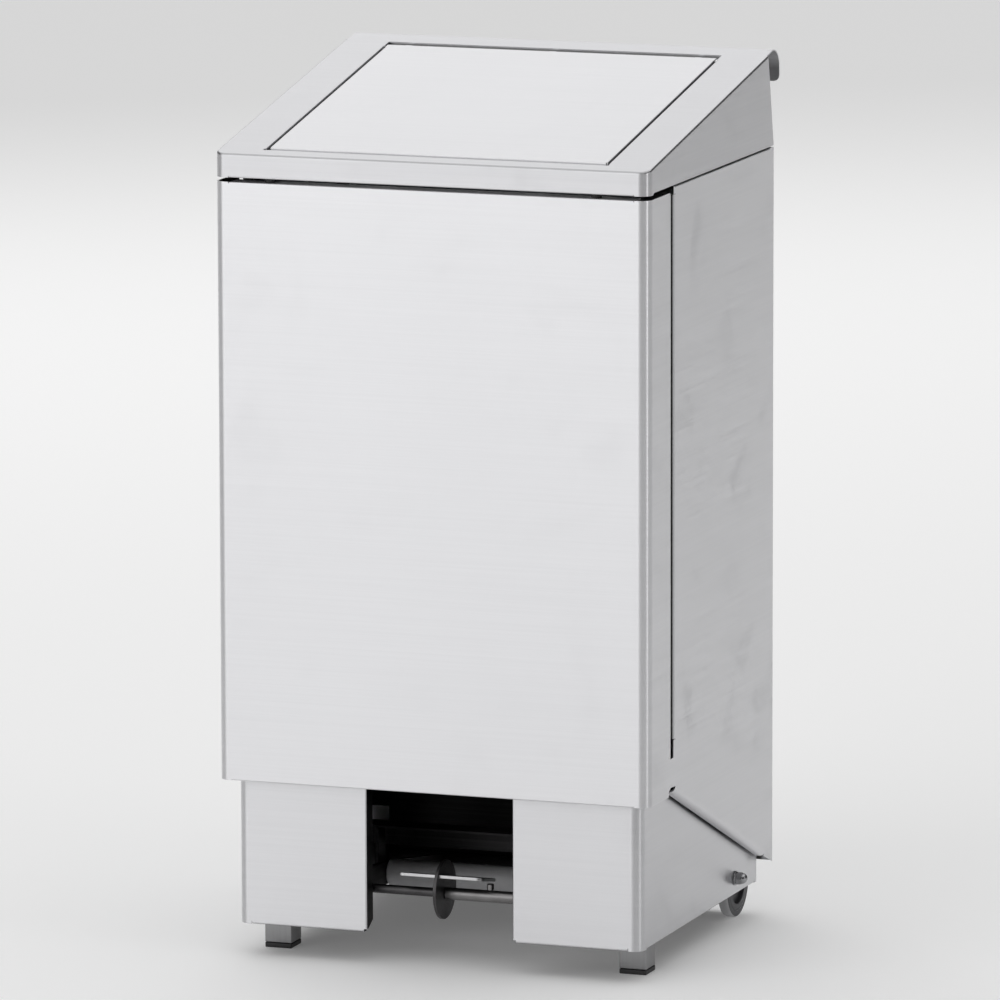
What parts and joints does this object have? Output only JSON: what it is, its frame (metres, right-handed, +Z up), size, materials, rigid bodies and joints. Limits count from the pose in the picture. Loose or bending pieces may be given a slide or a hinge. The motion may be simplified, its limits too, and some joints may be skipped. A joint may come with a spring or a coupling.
{
  "type": "pedal waste bin",
  "caption": "Foot-pedal clinical waste bin in brushed stainless sheet, with a sloping hinged hood, an inset flap, a toe recess, two front feet and two rear wheels.",
  "frame": {"origin": "centre of the bin's outline on the floor", "axes": "+Z up, +X to the right as seen from the front, -Y towards the front with the pedal"},
  "size_m": [0.4, 0.3634, 0.7814],
  "materials": {
    "brushed_steel": "brushed",
    "bright_steel": "bright",
    "black_plastic": "matte",
    "dark_plastic": "matte",
    "grey_rubber": "matte",
    "black_rubber": "matte",
    "white_nylon": "matte"
  },
  "bodies": {
    "root": {"axle_bush_left": "white_nylon", "axle_bush_right": "white_nylon", "axle_cap_left": "black_plastic", "axle_cap_right": "black_plastic", "axle_rod": "bright_steel", "axle_tube": "brushed_steel", "bag_ring": "bright_steel", "base_floor": "brushed_steel", "base_rear_panel": "brushed_steel", "base_shell": "brushed_steel", "body_hinge_leaf_left": "brushed_steel", "body_hinge_leaf_right": "brushed_steel", "body_rear_panel": "brushed_steel", "body_shell": "brushed_steel", "body_spacer_left": "brushed_steel", "body_spacer_right": "brushed_steel", "dome_nut_left": "bright_steel", "dome_nut_right": "bright_steel", "foot_plug_left": "black_plastic", "foot_plug_right": "black_plastic", "foot_tube_left": "brushed_steel", "foot_tube_right": "brushed_steel", "hood_buffer_left": "black_rubber", "hood_buffer_right": "black_rubber", "hood_hinge_pin_left": "bright_steel", "hood_hinge_pin_right": "bright_steel", "pivot_hanger_left": "brushed_steel", "pivot_hanger_right": "brushed_steel", "pivot_rail": "brushed_steel", "pivot_shaft": "bright_steel", "ring_bracket_left": "brushed_steel", "ring_bracket_right": "brushed_steel", "rod_bracket": "brushed_steel", "rod_bush_lower": "white_nylon", "rod_bush_upper": "white_nylon", "rod_guard": "brushed_steel", "side_bolt_left": "bright_steel", "side_bolt_right": "bright_steel", "wheel_bracket_left": "brushed_steel", "wheel_bracket_right": "brushed_steel"},
    "hood": {"hood": "brushed_steel", "hood_hinge_leaf_left": "brushed_steel", "hood_hinge_leaf_right": "brushed_steel"},
    "flap": {"flap": "brushed_steel", "flap_shaft": "bright_steel", "lift_cam": "white_nylon"},
    "pedal": {"pivot_tube": "bright_steel", "pedal_arm_left": "brushed_steel", "pedal_arm_right": "brushed_steel", "treadle_bar": "bright_steel", "treadle_sleeve": "bright_steel", "treadle_cheek": "bright_steel", "treadle_plate": "bright_steel", "treadle_stud": "bright_steel"},
    "push_rod": {"push_rod": "bright_steel", "rod_cap": "white_nylon"},
    "wheel_left": {"wheel_core_left": "dark_plastic", "wheel_tyre_left": "grey_rubber"},
    "wheel_right": {"wheel_core_right": "dark_plastic", "wheel_tyre_right": "grey_rubber"}
  },
  "joints": [
    {"name": "pedal_press", "type": "hinge", "parent": "root", "child": "pedal", "pos_m": [0, -0.02675, 0.054], "axis": [1, 0, 0], "range_deg": [0, 17.16]},
    {"name": "rod_lift", "type": "slide", "parent": "root", "child": "push_rod", "axis": [0, 0, 1], "range_m": [0, 0.04034]},
    {"name": "hood_lift", "type": "hinge", "parent": "root", "child": "hood", "pos_m": [0, 0.16545, 0.6965], "axis": [-1, 0, 0], "range_deg": [0, 85]},
    {"name": "flap_open", "type": "hinge", "parent": "hood", "child": "flap", "pos_m": [0, 0.13775, 0.771], "axis": [-1, 0, 0], "range_deg": [0, 65.2]},
    {"name": "wheel_left_spin", "type": "hinge", "parent": "root", "child": "wheel_left", "pos_m": [-0.172, 0.13225, 0.031], "axis": [1, 0, 0], "continuous": true},
    {"name": "wheel_right_spin", "type": "hinge", "parent": "root", "child": "wheel_right", "pos_m": [0.172, 0.13225, 0.031], "axis": [1, 0, 0], "continuous": true}
  ],
  "couplings": [
    {"joint": "rod_lift", "follows": "pedal_press", "m_per_rad": 0.134},
    {"joint": "flap_open", "follows": "pedal_press", "ratio": 3.7877}
  ]
}
